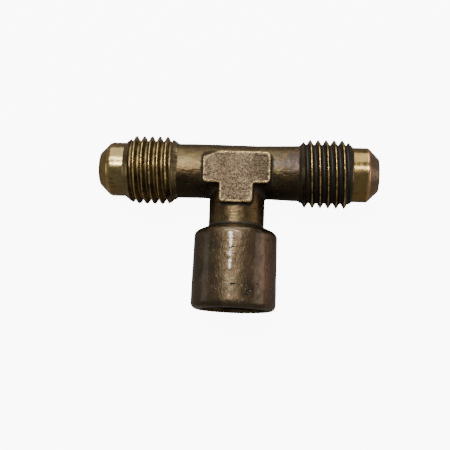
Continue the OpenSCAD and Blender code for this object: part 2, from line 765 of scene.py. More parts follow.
@dataclass
class TeeBody:
    """The whole tee: one forging with its two turned ends, drilled and tapped."""

    low: Vector
    high: Vector
    passage_r: float
    pads_across: float
    voxel: float = 0.16
    soft_rounds: int = 7
    overlap: float = 0.5
    barrel_nicks: tuple[Nick, ...] = (
        Nick(13.3, -0.5, 12, 1.6, 0.20, 0.24), Nick(14.3, 0, -12, 1.2, 0.18, 0.22),
        Nick(11.9, 0.5, -20, 1.0, 0.17, 0.22), Nick(18.9, -1.5, 5, 1.1, 0.26, 0.25),
        Nick(19.8, -23, 25, 1.2, 0.4, 0.28), Nick(20.5, -20, -30, 0.8, 0.3, 0.24),
        Nick(19.9, 24, 0, 0.5, 0.24, 0.18), Nick(18.7, -35, 15, 0.6, 0.2, 0.18))
    nose_nicks: tuple[Nick, ...] = (
        Nick(20.0, -34, 80, 0.8, 0.20, 0.18), Nick(19.9, -44, 75, 1.0, 0.22, 0.20),
        Nick(19.6, -52, 85, 0.6, 0.18, 0.16))
    left: FlareEnd = field(init=False)
    right: FlareEnd = field(init=False)
    barrel: Barrel = field(init=False)
    pads: WrenchPads = field(init=False)
    drillings: Drillings = field(init=False)

    def __post_init__(self) -> None:
        """Sizes the pieces from the frame's box."""
        self.left = FlareEnd(Axis.RUN_LEFT, -self.low.x, self.passage_r, cone_edge=0.4,
                             tip_edge=0.2, inner_run_out=1.45, outer_run_out=1.25,
                             thread_phase=0.34)
        self.right = FlareEnd(Axis.RUN_RIGHT, self.high.x, self.passage_r, thread_phase=0.15)
        self.barrel = Barrel(-self.low.y, self.high.z)
        self.pads = WrenchPads(self.pads_across)
        self.drillings = Drillings(self.high.x, -self.low.y, self.passage_r)

    def forging(self) -> bpy.types.Object:
        """Joins arms, branch and pads, and lets the metal flow together at the joins.

        Returns:
            The forging, without its turned ends.
        """
        forging = Arms(self.left.thread_start + self.overlap,
                       self.right.thread_start + self.overlap).build()
        join_solids(forging, self.barrel.build(), Fit.UNION)
        join_solids(forging, self.pads.build(), Fit.UNION)
        skin = forging.modifiers.new("skin", "REMESH")
        skin.mode = "VOXEL"
        skin.voxel_size = self.voxel
        apply(forging, skin)
        soften = forging.modifiers.new("soften", "SMOOTH")
        soften.factor = 0.5
        soften.iterations = self.soft_rounds
        apply(forging, soften)
        for size, height in ((2.2, 0.05), (0.7, 0.02)):
            self.roughen(forging, size, height)
        return forging

    def roughen(self, forging: bpy.types.Object, size: float, height: float) -> None:
        """Gives the skin the slight waves of a forged surface.

        Args:
            forging: The forging.
            size: Size of the waves.
            height: Height of the waves, from lowest to highest.
        """
        waves = bpy.data.textures.new("forged_waves", "CLOUDS")
        waves.noise_scale = size
        move = forging.modifiers.new("waves", "DISPLACE")
        move.texture = waves
        move.texture_coords = "LOCAL"
        move.strength = height
        move.mid_level = 0.5
        apply(forging, move)

    def nick(self, body: bpy.types.Object) -> None:
        """Cuts the nicks into the barrel and the left nose.

        Args:
            body: The tee.
        """
        for nicks, radius, axis in ((self.barrel_nicks, self.barrel.mouth_r, Axis.BRANCH),
                                    (self.nose_nicks, self.left.nose_r, Axis.RUN_LEFT)):
            for nick in nicks:
                join_solids(body, nick.cutter(radius, axis), Fit.DIFFERENCE)

    def build(self) -> bpy.types.Object:
        """Makes the whole tee.

        Returns:
            The finished body, undressed and still in millimetres.
        """
        body = self.forging()
        join_solids(body, self.left.build(), Fit.UNION)
        join_solids(body, self.right.build(), Fit.UNION)
        join_solids(body, self.drillings.build(), Fit.DIFFERENCE)
        self.nick(body)
        turn_outwards(body)
        body.name = body.data.name = "forged_tee"
        return body


# --- Where the metal is rubbed, where dirt stays and where shade is painted ---------------------


@dataclass
class WearMap:
    """Works out from the tee's own shape where it is rubbed bright, where dirt stays and where
    shade is painted.
    """

    body: bpy.types.Object
    edge_rounds: int = 14
    hollow_rounds: int = 110

    def relaxed(self, rounds: int) -> np.ndarray:
        """Lets the surface sag towards its neighbours, as if it were made of wax.

        Args:
            rounds: How often every point moves half way to the middle of its neighbours.

        Returns:
            How far each point sank below its own surface, and rose if negative.
        """
        mesh = self.body.data
        count = len(mesh.vertices)
        places, normals = np.zeros((2, count * 3))
        mesh.vertices.foreach_get("co", places)
        mesh.vertices.foreach_get("normal", normals)
        places, normals = places.reshape(-1, 3), normals.reshape(-1, 3)
        ends = np.zeros(len(mesh.edges) * 2, np.int32)
        mesh.edges.foreach_get("vertices", ends)
        one, other = ends[0::2], ends[1::2]
        near, far = np.concatenate([one, other]), np.concatenate([other, one])
        links = np.bincount(near, minlength=count)[:, None]
        moved = places.copy()
        for _ in range(rounds):
            middle = np.stack([np.bincount(near, moved[far, i], count) for i in range(3)], axis=1)
            moved = (moved + middle / links) / 2
        return ((places - moved) * normals).sum(axis=1)

    def store(self, name: str, depth: np.ndarray, least: float, span: float) -> None:
        """Keeps a value from 0 to 1 for every point of the mesh.

        Args:
            name: The attribute's name.
            depth: A depth for each point, in millimetres.
            least: The depth that counts as 0.
            span: How much deeper it has to be to count as 1.
        """
        attribute = self.body.data.attributes.new(name, "FLOAT", "POINT")
        share = np.clip((depth - least) / span, 0, 1)
        attribute.data.foreach_set("value", share.astype(np.float32))

    def measure(self) -> None:
        """Stores how exposed, creased and sheltered each point of the surface is."""
        sunk = self.relaxed(self.edge_rounds)
        self.store("exposed", sunk, least=0.02, span=0.09)
        self.store("creased", -sunk, least=0.005, span=0.05)
        self.store("sheltered", -self.relaxed(self.hollow_rounds), least=0.01, span=0.30)


# --- Node trees --------------------------------------------------------------------------------


Feed = bpy.types.NodeSocket | float | Sequence[float]
Given = bpy.types.bpy_prop_collection
EVEN = (1.0, 1.0, 1.0)


class Graph:
    """A node tree that is being wired up."""

    def __init__(self, tree: bpy.types.NodeTree) -> None:
        """Starts with an empty tree."""
        self.tree = tree
        tree.nodes.clear()

    def feed(self, socket: bpy.types.NodeSocket, value: Feed) -> None:
        """Links a socket to another one, or sets its plain value.

        Args:
            socket: The socket that is fed.
            value: What it gets.
        """
        if isinstance(value, bpy.types.NodeSocket):
            self.tree.links.new(value, socket)
        else:
            socket.default_value = value

    def add(self, kind: str, inputs: dict[str | int, Feed] | None = None,
            **settings: object) -> bpy.types.Node:
        """Adds a node.

        Args:
            kind: The node's type, without its ShaderNode prefix.
            inputs: What goes into its sockets, by name or number.
            settings: The node's own settings.

        Returns:
            The node.
        """
        node = self.tree.nodes.new("ShaderNode" + kind)
        for name, value in settings.items():
            setattr(node, name, value)
        for name, value in (inputs or {}).items():
            self.feed(node.inputs[name], value)
        return node

    def place(self, stretch: Feed = EVEN) -> bpy.types.NodeSocket:
        """Reads the place on the tee.

        Args:
            stretch: What the place is divided by on each axis.

        Returns:
            The place in millimetres.
        """
        coordinates = self.add("TexCoord").outputs["Object"]
        in_mm = self.add("VectorMath", {0: coordinates, "Scale": 1 / MM}, operation="SCALE")
        return self.vector("DIVIDE", in_mm.outputs[0], stretch).outputs[0]

    def along(self, axis: str) -> bpy.types.NodeSocket:
        """Reads how far along one axis a place is, in millimetres."""
        return self.add("SeparateXYZ", {0: self.place()}).outputs[axis]

    def vector(self, operation: str, one: Feed, other: Feed = (0.0, 0.0, 0.0)) -> bpy.types.Node:
        """Works on one vector, or on two."""
        return self.add("VectorMath", {0: one, 1: other}, operation=operation)

    def math(self, operation: str, one: Feed, other: Feed = 0.0) -> bpy.types.NodeSocket:
        """Works out one value from two."""
        return self.add("Math", {0: one, 1: other}, operation=operation).outputs[0]

    def ramp(self, value: Feed, low: Feed, high: Feed, to_low: Feed = 0.0,
             to_high: Feed = 1.0) -> bpy.types.NodeSocket:
        """Brings a value from one range softly into another, and holds it there.

        Args:
            value: The value.
            low: Where its range starts.
            high: Where its range ends.
            to_low: What it becomes at and below the start.
            to_high: What it becomes at and past the end.

        Returns:
            The new value.
        """
        node = self.add("MapRange", {"Value": value, "From Min": low, "From Max": high,
                                     "To Min": to_low, "To Max": to_high},
                        interpolation_type="SMOOTHSTEP")
        return node.outputs["Result"]

    def noise(self, size: Feed, stretch: Feed = EVEN, detail: float = 3.0,
              roughness: float = 0.55) -> bpy.types.NodeSocket:
        """Makes soft random spots.

        Args:
            size: Size of the spots, in millimetres.
            stretch: How many times longer they are on each axis.
            detail: How many finer layers they have.
            roughness: How strong the finer layers are.

        Returns:
            Values around a half.
        """
        scale = self.math("DIVIDE", 1.0, size)
        return self.add("TexNoise", {"Vector": self.place(stretch), "Scale": scale,
                                     "Detail": detail, "Roughness": roughness}).outputs["Fac"]

    def blend(self, mask: Feed, one: Feed, other: Feed, share: float = 1.0
              ) -> bpy.types.NodeSocket:
        """Mixes a second colour into a first one.

        Args:
            mask: Where the second colour shows, from 0 to 1.
            one: The first colour.
            other: The second colour.
            share: How much of it shows at most.

        Returns:
            The mixed colour.
        """
        def whole(colour: Feed) -> Feed:
            """Gives a plain colour its fourth number."""
            plain = not isinstance(colour, bpy.types.NodeSocket)
            return (*colour, 1.0) if plain else colour

        if share < 1.0:
            mask = self.math("MULTIPLY", mask, share)
        # A Mix node's sockets for colours, which share their names with those for numbers
        node = self.add("Mix", {0: mask, 6: whole(one), 7: whole(other)}, data_type="RGBA")
        return node.outputs[2]

    def attribute(self, name: str) -> bpy.types.NodeSocket:
        """Reads one of the values that WearMap stored."""
        return self.add("Attribute", attribute_name=name).outputs["Fac"]


class Shared(Enum):
    """The effects that several finishes use: each group's name, inputs and output."""

    MOTTLING = ("mottling", ("Size", "Stretch", "From", "To"), "Mask")
    EDGE_WEAR = ("edge_wear", ("Amount", "Breakup"), "Mask")
    # Dirt and painted shade in creases and sheltered corners
    GRIME = ("grime_and_shade", ("Crease", "Shelter", "Breakup"), "Mask")
    GRAIN = ("grain", ("Size", "Stretch"), "Height")
    SCRATCHES = ("scratches", ("Size", "Stretch", "Amount"), "Mask")
    PITS = ("pits", ("Size", "Amount"), "Mask")
    PATCH = ("patch", ("Centre", "Reach"), "Mask")
    THREAD_HEIGHT = ("thread_height", ("Root", "Crest"), "Height")


class Effects:
    """Builds the shared node groups and places them in a finish's own tree."""

    VECTORS = ("Stretch", "Centre", "Reach")

    def __init__(self) -> None:
        """Builds every group."""
        recipes = {Shared.MOTTLING: self.mottling, Shared.EDGE_WEAR: self.edge_wear,
                   Shared.GRIME: self.grime_and_shade, Shared.GRAIN: self.grain,
                   Shared.SCRATCHES: self.scratches, Shared.PITS: self.pits,
                   Shared.PATCH: self.patch, Shared.THREAD_HEIGHT: self.thread_height}
        self.groups = {effect: self.group(effect, recipe) for effect, recipe in recipes.items()}

    def group(self, effect: Shared, recipe: Callable[[Graph, Given], bpy.types.NodeSocket]
              ) -> bpy.types.NodeTree:
        """Builds one group, with its named inputs and its one output.

        Args:
            effect: Which group it is.
            recipe: Wires it up and gives what it puts out.

        Returns:
            The group's tree.
        """
        name, inputs, output = effect.value
        tree = bpy.data.node_groups.new(name, "ShaderNodeTree")
        graph = Graph(tree)
        for each in inputs:
            kind = "NodeSocketVector" if each in self.VECTORS else "NodeSocketFloat"
            socket = tree.interface.new_socket(name=each, in_out="INPUT", socket_type=kind)
            if each == "Stretch":
                socket.default_value = EVEN
        tree.interface.new_socket(name=output, in_out="OUTPUT", socket_type="NodeSocketFloat")
        given = tree.nodes.new("NodeGroupInput").outputs
        result = tree.nodes.new("NodeGroupOutput").inputs
        graph.feed(result[output], recipe(graph, given))
        return tree

    def mottling(self, graph: Graph, given: Given) -> bpy.types.NodeSocket:
        """Wires up soft-edged patches of tarnish."""
        cloud = graph.noise(given["Size"], given["Stretch"], 5.0, 0.6)
        return graph.ramp(cloud, given["From"], given["To"])

    def edge_wear(self, graph: Graph, given: Given) -> bpy.types.NodeSocket:
        """Wires up edges and corners rubbed down to bright metal, in broken stretches.

        Args:
            graph: The group's tree.
            given: The group's inputs.

        Returns:
            The mask.
        """
        broken = graph.ramp(graph.noise(given["Breakup"], detail=4.0), 0.3, 0.62, 0.25, 1.0)
        edge = graph.math("MULTIPLY", graph.attribute("exposed"), given["Amount"])
        return graph.ramp(graph.math("MULTIPLY", edge, broken), 0.12, 0.6)

    def grime_and_shade(self, graph: Graph, given: Given) -> bpy.types.NodeSocket:
        """Wires up dark dirt and painted shade in creases and sheltered corners.

        Args:
            graph: The group's tree.
            given: The group's inputs.

        Returns:
            The mask.
        """
        crease = graph.math("MULTIPLY", graph.attribute("creased"), given["Crease"])
        shelter = graph.math("MULTIPLY", graph.attribute("sheltered"), given["Shelter"])
        both = graph.math("ADD", crease, shelter)
        broken = graph.ramp(graph.noise(given["Breakup"], detail=5.0), 0.3, 0.65, 0.55, 1.15)
        return graph.ramp(graph.math("MULTIPLY", both, broken), 0.05, 0.95)

    def grain(self, graph: Graph, given: Given) -> bpy.types.NodeSocket:
        """Wires up fine unevenness of the surface."""
        return graph.noise(given["Size"], given["Stretch"], 2.0, 0.5)

    def scratches(self, graph: Graph, given: Given) -> bpy.types.NodeSocket:
        """Wires up thin lines that run one way, here and there.

        Args:
            graph: The group's tree.
            given: The group's inputs.

        Returns:
            The mask.
        """
        thin = graph.ramp(graph.noise(given["Size"], given["Stretch"], 2.0, 0.5), 0.60, 0.70)
        where = graph.ramp(graph.noise(1.7, detail=2.0), 0.42, 0.6)
        return graph.math("MULTIPLY", graph.math("MULTIPLY", thin, where), given["Amount"])

    def pits(self, graph: Graph, given: Given) -> bpy.types.NodeSocket:
        """Wires up small dark pits, scattered unevenly.

        Args:
            graph: The group's tree.
            given: The group's inputs.

        Returns:
            The mask.
        """
        scale = graph.math("DIVIDE", 1.0, given["Size"])
        cells = graph.add("TexVoronoi", {"Vector": graph.place(), "Scale": scale})
        near = graph.ramp(cells.outputs["Distance"], 0.08, 0.24, 1.0, 0.0)
        few = graph.ramp(graph.noise(1.3, detail=3.0), 0.5, 0.62)
        return graph.math("MULTIPLY", graph.math("MULTIPLY", near, few), given["Amount"])

    def patch(self, graph: Graph, given: Given) -> bpy.types.NodeSocket:
        """Wires up one soft, ragged patch round a place on the tee.

        Args:
            graph: The group's tree.
            given: The group's inputs.

        Returns:
            The mask.
        """
        away = graph.vector("SUBTRACT", graph.place(), given["Centre"]).outputs[0]
        scaled = graph.vector("DIVIDE", away, given["Reach"]).outputs[0]
        reach = graph.vector("LENGTH", scaled).outputs["Value"]
        ragged = graph.ramp(graph.noise(0.9, detail=4.0), 0.2, 0.8, -0.45, 0.45)
        return graph.ramp(graph.math("ADD", reach, ragged), 0.45, 1.1, 1.0, 0.0)

    def thread_height(self, graph: Graph, given: Given) -> bpy.types.NodeSocket:
        """Wires up how far up a flare thread's flank a place is, from root to crest.

        Args:
            graph: The group's tree.
            given: The group's inputs.

        Returns:
            The height, 0 at the root and 1 at the crest.
        """
        across = graph.add("CombineXYZ", {"Y": graph.along("Y"), "Z": graph.along("Z")})
        radius = graph.vector("LENGTH", across.outputs[0]).outputs["Value"]
        height = graph.add("MapRange", {"Value": radius, "From Min": given["Root"],
                                        "From Max": given["Crest"]}, clamp=False)
        return height.outputs["Result"]

    def use(self, graph: Graph, effect: Shared, **inputs: Feed) -> bpy.types.NodeSocket:
        """Places a shared group in a finish's tree.

        Args:
            graph: The finish's tree.
            effect: Which group.
            inputs: What goes into the group.

        Returns:
            The group's output.
        """
        node = graph.add("Group")
        node.node_tree = self.groups[effect]
        for name, value in inputs.items():
            graph.feed(node.inputs[name], value)
        return node.outputs[0]


# --- Finishes ----------------------------------------------------------------------------------


@dataclass(frozen=True)
class Finish:
    """What every finish of aged brass has: a name, its colours and its gloss."""

    name: str
    base: Colour
    deep: Colour
    worn: Colour = (0.80, 0.60, 0.28)
    # A dark colour for dirt and pits, also used for painted shade in creases, thread roots and
    # under the arms
    dirt_and_shade: Colour = (0.032, 0.027, 0.021)
    gloss_low: float = 0.34
    gloss_high: float = 0.52

    def start(self) -> tuple[bpy.types.Material, Graph, bpy.types.Node]:
        """Starts the finish's material.

        Returns:
            The material, its tree and its shader.
        """
        material = bpy.data.materials.new(self.name)
        material.use_nodes = True
        graph = Graph(material.node_tree)
        shader = graph.add("BsdfPrincipled")
        graph.add("OutputMaterial", {"Surface": shader.outputs[0]})
        return material, graph, shader

    def gloss(self, graph: Graph, size: float, detail: float = 4.0) -> bpy.types.NodeSocket:
        """Makes the roughness wander between the finish's two limits."""
        spots = graph.noise(size, detail=detail)
        return graph.ramp(spots, 0.3, 0.7, self.gloss_low, self.gloss_high)

    def relief(self, graph: Graph, shader: bpy.types.Node, layers: Sequence[tuple[Feed, float]]
               ) -> None:
        """Raises and sinks the surface by several layers of height.

        Args:
            graph: The finish's tree.
            shader: The finish's shader.
            layers: Each layer's height and how deep it goes, in millimetres.
        """
        normal = None
        for height, depth in layers:
            bump = graph.add("Bump", {"Height": height, "Distance": depth * MM})
            if normal is not None:
                graph.feed(bump.inputs["Normal"], normal)
            normal = bump.outputs["Normal"]
        graph.feed(shader.inputs["Normal"], normal)


@dataclass(frozen=True)
class ForgedSkin(Finish):
    """Forged tarnished metal: mottled, flow streaks, dirt and painted shade in creases, painted
    shade below.
    """

    tint: Colour = (0.20, 0.115, 0.065)
    tint_share: float = 0.5
    flow: Triple = (4.0, 1.0, 1.0)
    # A patch of its own colour: a purple-grey stain on the arms, a painted reddish reflection on
    # the barrel's right side
    patch: Colour = (0.2, 0.16, 0.15)
    patch_at: Triple = (0.0, 0.0, 0.0)
    patch_reach: Triple = (0.1, 0.1, 0.1)
    relief_mm: float = 0.05
    # Below this height the arms are darkened as painted shade
    painted_shade_below: float = -90.0
    coat: float = 0.0
    coat_roughness: float = 0.10

    def dress(self, effects: Effects) -> bpy.types.Material:
        """Mixes the finish.

        Args:
            effects: The shared node groups.

        Returns:
            The material.
        """
        material, graph, shader = self.start()
        clouds = effects.use(graph, Shared.MOTTLING, Size=2.6, From=0.36, To=0.66)
        tinted = effects.use(graph, Shared.MOTTLING, Size=4.5, From=0.42, To=0.6)
        streaks = effects.use(graph, Shared.MOTTLING, Size=0.34, Stretch=self.flow, From=0.44,
                              To=0.66)
        spot = effects.use(graph, Shared.PATCH, Centre=self.patch_at, Reach=self.patch_reach)
        wear = effects.use(graph, Shared.EDGE_WEAR, Amount=1.0, Breakup=0.6)
        pits = effects.use(graph, Shared.PITS, Size=0.45, Amount=0.8)
        # Dirt and painted shade in creases and sheltered corners, darker where the shape is hollow
        grime_and_shade = effects.use(graph, Shared.GRIME, Crease=0.9, Shelter=0.8, Breakup=0.8)
        lines = effects.use(graph, Shared.SCRATCHES, Size=0.10, Stretch=self.flow, Amount=0.5)
        dark = graph.math("MAXIMUM", grime_and_shade, pits)
        colour = graph.blend(clouds, self.base, self.deep)
        colour = graph.blend(tinted, colour, self.tint, self.tint_share)
        colour = graph.blend(streaks, colour, self.deep, 0.45)
        # The patch: a stain on the arms, a painted reflection on the barrel
        colour = graph.blend(spot, colour, self.patch, 0.8)
        # Painted shade on the arms' undersides
        colour = graph.blend(self.painted_underside_shade(graph), colour, self.dirt_and_shade)
        colour = graph.blend(wear, colour, self.worn)
        # Dirt and painted shade in creases and corners, and dark pits
        colour = graph.blend(dark, colour, self.dirt_and_shade)
        colour = graph.blend(lines, colour, self.worn, 0.5)
        graph.feed(shader.inputs["Base Color"], colour)
        gloss = graph.math("ADD", self.gloss(graph, 0.8), graph.math("MULTIPLY", dark, 0.3))
        graph.feed(shader.inputs["Roughness"], gloss)
        graph.feed(shader.inputs["Metallic"], graph.ramp(dark, 0.0, 1.0, 1.0, 0.35))
        graph.feed(shader.inputs["Coat Weight"], self.coat)
        graph.feed(shader.inputs["Coat Roughness"], self.coat_roughness)
        waves = effects.use(graph, Shared.GRAIN, Size=0.75)
        fine = effects.use(graph, Shared.GRAIN, Size=0.22, Stretch=self.flow)
        self.relief(graph, shader, [(waves, self.relief_mm * 1.6), (fine, self.relief_mm),
                                    (lines, -0.02), (pits, -0.03)])
        return material

    def painted_underside_shade(self, graph: Graph) -> bpy.types.NodeSocket:
        """Marks the undersides of the arms, clear of the neck, for painted shade.

        Args:
            graph: The finish's tree.

        Returns:
            The mask.
        """
        beside = graph.ramp(graph.math("ABSOLUTE", graph.along("X")), 3.6, 4.8)
        ragged = graph.ramp(graph.noise(1.4, (3, 1, 1), 4.0), 0.25, 0.75, -0.7, 0.7)
        height = graph.math("ADD", graph.along("Y"), ragged)
        below = graph.ramp(height, self.painted_shade_below - 1.0, self.painted_shade_below + 1.0, 0.7, 0.0)
        return graph.math("MULTIPLY", beside, below)


@dataclass(frozen=True)
class CoinedFace(Finish):
    """The struck pad face: paler and grainy, bright specks partly painted glints, painted shade at
    its right, bright worn edges.
    """

    tint: Colour = (0.42, 0.30, 0.24)
    # A soft patch on the right of each face, darkened as painted shade
    painted_shade_at: Triple = (4.6, -0.4, 5.2)
    painted_shade_reach: Triple = (2.8, 4.5, 3.0)

    def dress(self, effects: Effects) -> bpy.types.Material:
        """Mixes the finish.

        Args:
            effects: The shared node groups.

        Returns:
            The material.
        """
        material, graph, shader = self.start()
        clouds = effects.use(graph, Shared.MOTTLING, Size=3.0, From=0.38, To=0.62)
        grain = effects.use(graph, Shared.MOTTLING, Size=0.26, From=0.44, To=0.6)
        specks_and_glints = effects.use(graph, Shared.MOTTLING, Size=0.17, From=0.56, To=0.66)
        painted_shade = effects.use(graph, Shared.PATCH, Centre=self.painted_shade_at, Reach=self.painted_shade_reach)
        wear = effects.use(graph, Shared.EDGE_WEAR, Amount=1.6, Breakup=0.5)
        pits = effects.use(graph, Shared.PITS, Size=0.5, Amount=0.6)
        colour = graph.blend(clouds, self.base, self.tint)
        colour = graph.blend(grain, colour, self.deep, 0.8)
        # Bright worn specks, which also stand in for painted glints on the grain
        colour = graph.blend(specks_and_glints, colour, self.worn, 0.45)
        # Painted shade on the right side of the face
        colour = graph.blend(painted_shade, colour, self.deep, 0.6)
        colour = graph.blend(wear, colour, self.worn)
        colour = graph.blend(pits, colour, self.dirt_and_shade)
        graph.feed(shader.inputs["Base Color"], colour)
        gloss = graph.math("SUBTRACT", self.gloss(graph, 0.4, 3.0),
                           graph.math("MULTIPLY", wear, 0.12))
        graph.feed(shader.inputs["Roughness"], gloss)
        graph.feed(shader.inputs["Metallic"], graph.ramp(pits, 0.0, 1.0, 1.0, 0.5))
        dimples = effects.use(graph, Shared.GRAIN, Size=0.36)
        fine = effects.use(graph, Shared.GRAIN, Size=0.16)
        self.relief(graph, shader, [(dimples, 0.30), (fine, 0.12), (pits, -0.05)])
        return material


@dataclass(frozen=True)
class TurnedBrass(Finish):
    """Turned metal, handled for years: fine tool rings under a thin tarnish, and a painted
    highlight along the cone's edge.
    """

    tint: Colour = (0.3, 0.2, 0.1)
    tint_share: float = 0.3
    # A copper-toned band painted as a highlight along the edge between nose and cone
    ring: Colour = (0.9, 0.5, 0.25)
    edge_highlight_at: float = 0.0
    edge_highlight_share: float = 0.0

    def dress(self, effects: Effects) -> bpy.types.Material:
        """Mixes the finish.

        Args:
            effects: The shared node groups.

        Returns:
            The material.
        """
        material, graph, shader = self.start()
        clouds = effects.use(graph, Shared.MOTTLING, Size=1.6, From=0.36, To=0.68)
        tinted = effects.use(graph, Shared.MOTTLING, Size=2.4, From=0.45, To=0.62)
        wear = effects.use(graph, Shared.EDGE_WEAR, Amount=0.9, Breakup=0.7)
        pits = effects.use(graph, Shared.PITS, Size=0.34, Amount=0.75)
        off = graph.math("ABSOLUTE", graph.math("SUBTRACT", graph.along("X"), self.edge_highlight_at))
        colour = graph.blend(clouds, self.base, self.deep)
        colour = graph.blend(tinted, colour, self.tint, self.tint_share)
        colour = graph.blend(wear, colour, self.worn, 0.6)
        # Painted highlight along the cone's edge
        colour = graph.blend(graph.ramp(off, 0.05, 0.3, 1.0, 0.0), colour, self.ring,
                             self.edge_highlight_share)
        colour = graph.blend(pits, colour, self.dirt_and_shade)
        graph.feed(shader.inputs["Base Color"], colour)
        graph.feed(shader.inputs["Roughness"], self.gloss(graph, 0.5))
        graph.feed(shader.inputs["Metallic"], graph.ramp(pits, 0.0, 1.0, 1.0, 0.5))
        rings = effects.use(graph, Shared.GRAIN, Size=0.09, Stretch=(1, 12, 12))
        dents = effects.use(graph, Shared.GRAIN, Size=0.5)
        self.relief(graph, shader, [(dents, 0.018), (rings, 0.008), (pits, -0.03)])
        return material


@dataclass(frozen=True)
class CutThread(Finish):
    """A cut thread: dirt and painted shade in the root, tarnished flanks, crests rubbed bright and
    painted as glints.
    """

    root_r: float = 4.721
    crest_r: float = 5.5
    dirt_and_shade_height: float = 0.6
    crest_height: float = 0.86
    crest_wear_and_glint_share: float = 0.9

    def dress(self, effects: Effects) -> bpy.types.Material:
        """Mixes the finish.

        Args:
            effects: The shared node groups.

        Returns:
            The material.
        """
        material, graph, shader = self.start()
        height = effects.use(graph, Shared.THREAD_HEIGHT, Root=self.root_r, Crest=self.crest_r)
        clouds = effects.use(graph, Shared.MOTTLING, Size=2.0, From=0.38, To=0.66)
        ragged = graph.math("ADD", height, graph.ramp(graph.noise(0.9, detail=3.0), 0.25, 0.75,
                                                      -0.09, 0.09))
        outside = graph.ramp(height, -0.3, -0.05)
        # Thread roots: dirt and painted shade down in the groove
        in_root = graph.ramp(ragged, self.dirt_and_shade_height - 0.45, self.dirt_and_shade_height + 0.2, 1.0, 0.0)
        dirt_and_shade = graph.math("MULTIPLY", outside, in_root)
        # Crests rubbed bright, which also serve as painted glints
        on_crest = graph.ramp(ragged, self.crest_height, self.crest_height + 0.12)
        crest = graph.math("MULTIPLY", on_crest, self.crest_wear_and_glint_share)
        colour = graph.blend(clouds, self.base, self.deep)
        colour = graph.blend(dirt_and_shade, colour, self.dirt_and_shade)
        colour = graph.blend(crest, colour, self.worn)
        graph.feed(shader.inputs["Base Color"], colour)
        gloss = graph.math("ADD", self.gloss(graph, 0.6), graph.math("MULTIPLY", dirt_and_shade, 0.25))
        gloss = graph.math("SUBTRACT", gloss, graph.math("MULTIPLY", crest, 0.08))
        graph.feed(shader.inputs["Roughness"], gloss)
        graph.feed(shader.inputs["Metallic"], graph.ramp(dirt_and_shade, 0.0, 1.0, 1.0, 0.45))
        fine = effects.use(graph, Shared.GRAIN, Size=0.14, Stretch=(1, 6, 6))
        dents = effects.use(graph, Shared.GRAIN, Size=0.55)
        self.relief(graph, shader, [(dents, 0.03), (fine, 0.012)])
        return material


def finishes() -> dict[Area, Finish]:
    """Names the finish of each area.

    Returns:
        The finishes, by area.
    """
    olive, umber = (0.17, 0.125, 0.057), (0.092, 0.065, 0.032)
    gold = (0.90, 0.62, 0.22)
    return {
        # Arms: painted shade on their undersides, and a purple-grey stain on the right arm
        Area.ARMS: ForgedSkin("forged_arms", olive, umber, worn=gold, tint=(0.17, 0.10, 0.048),
                              flow=(5, 1, 1), patch=(0.075, 0.058, 0.055),
                              patch_at=(9.2, 1.0, 4.1), patch_reach=(4.0, 2.0, 2.8),
                              relief_mm=0.045, gloss_low=0.30, gloss_high=0.44,
                              painted_shade_below=-1.9),
        # Barrel: its reddish patch on the right side is a painted reflection
        Area.BARREL: ForgedSkin("forged_barrel", (0.135, 0.097, 0.050), (0.08, 0.056, 0.030),
                                worn=(0.70, 0.56, 0.36), tint=(0.17, 0.10, 0.058),
                                tint_share=0.5, flow=(1, 5, 1), patch=(0.24, 0.135, 0.09),
                                patch_at=(5.4, -16.0, 4.2), patch_reach=(1.8, 8.0, 4.0),
                                relief_mm=0.035, gloss_low=0.34, gloss_high=0.46, coat=0.6),
        Area.PADS: CoinedFace("coined_pads", (0.36, 0.265, 0.165), (0.075, 0.055, 0.035),
                              tint=(0.27, 0.186, 0.12), worn=(0.98, 0.72, 0.34), gloss_low=0.30,
                              gloss_high=0.44),
        Area.THREAD_LEFT: CutThread("worn_thread_left", (0.36, 0.272, 0.125), (0.22, 0.165, 0.08),
                                    worn=gold, dirt_and_shade_height=0.08, crest_height=0.9,
                                    crest_wear_and_glint_share=0.9, gloss_low=0.20, gloss_high=0.32),
        Area.THREAD_RIGHT: CutThread("worn_thread_right", (0.24, 0.175, 0.10), (0.11, 0.08, 0.048),
                                     worn=gold, dirt_and_shade_height=0.55, crest_height=0.90,
                                     gloss_low=0.22, gloss_high=0.34),
        Area.NOSE_LEFT: TurnedBrass("turned_nose_left", (0.42, 0.315, 0.13), (0.32, 0.235, 0.095),
                                    worn=gold, gloss_low=0.15, gloss_high=0.24),
        # The right nose and cone carry a painted highlight along the edge between them
        Area.NOSE_RIGHT: TurnedBrass("turned_nose_right", (0.42, 0.29, 0.10), (0.30, 0.205, 0.07),
                                     worn=gold, gloss_low=0.15, gloss_high=0.24, edge_highlight_at=20.6,
                                     edge_highlight_share=0.8),
        Area.CONE_RIGHT: TurnedBrass("cone_right", (0.44, 0.34, 0.22), (0.29, 0.22, 0.15),
                                     worn=gold, tint=(0.38, 0.21, 0.13), tint_share=0.4,
                                     gloss_low=0.18, gloss_high=0.28, edge_highlight_at=20.75,
                                     edge_highlight_share=0.8),
        Area.BORES: CutThread("drilled_bores", (0.17, 0.125, 0.06), (0.07, 0.052, 0.028),
                              worn=gold, root_r=0.0, crest_r=1.0, dirt_and_shade_height=-1.0,
                              crest_wear_and_glint_share=0.0),
    }


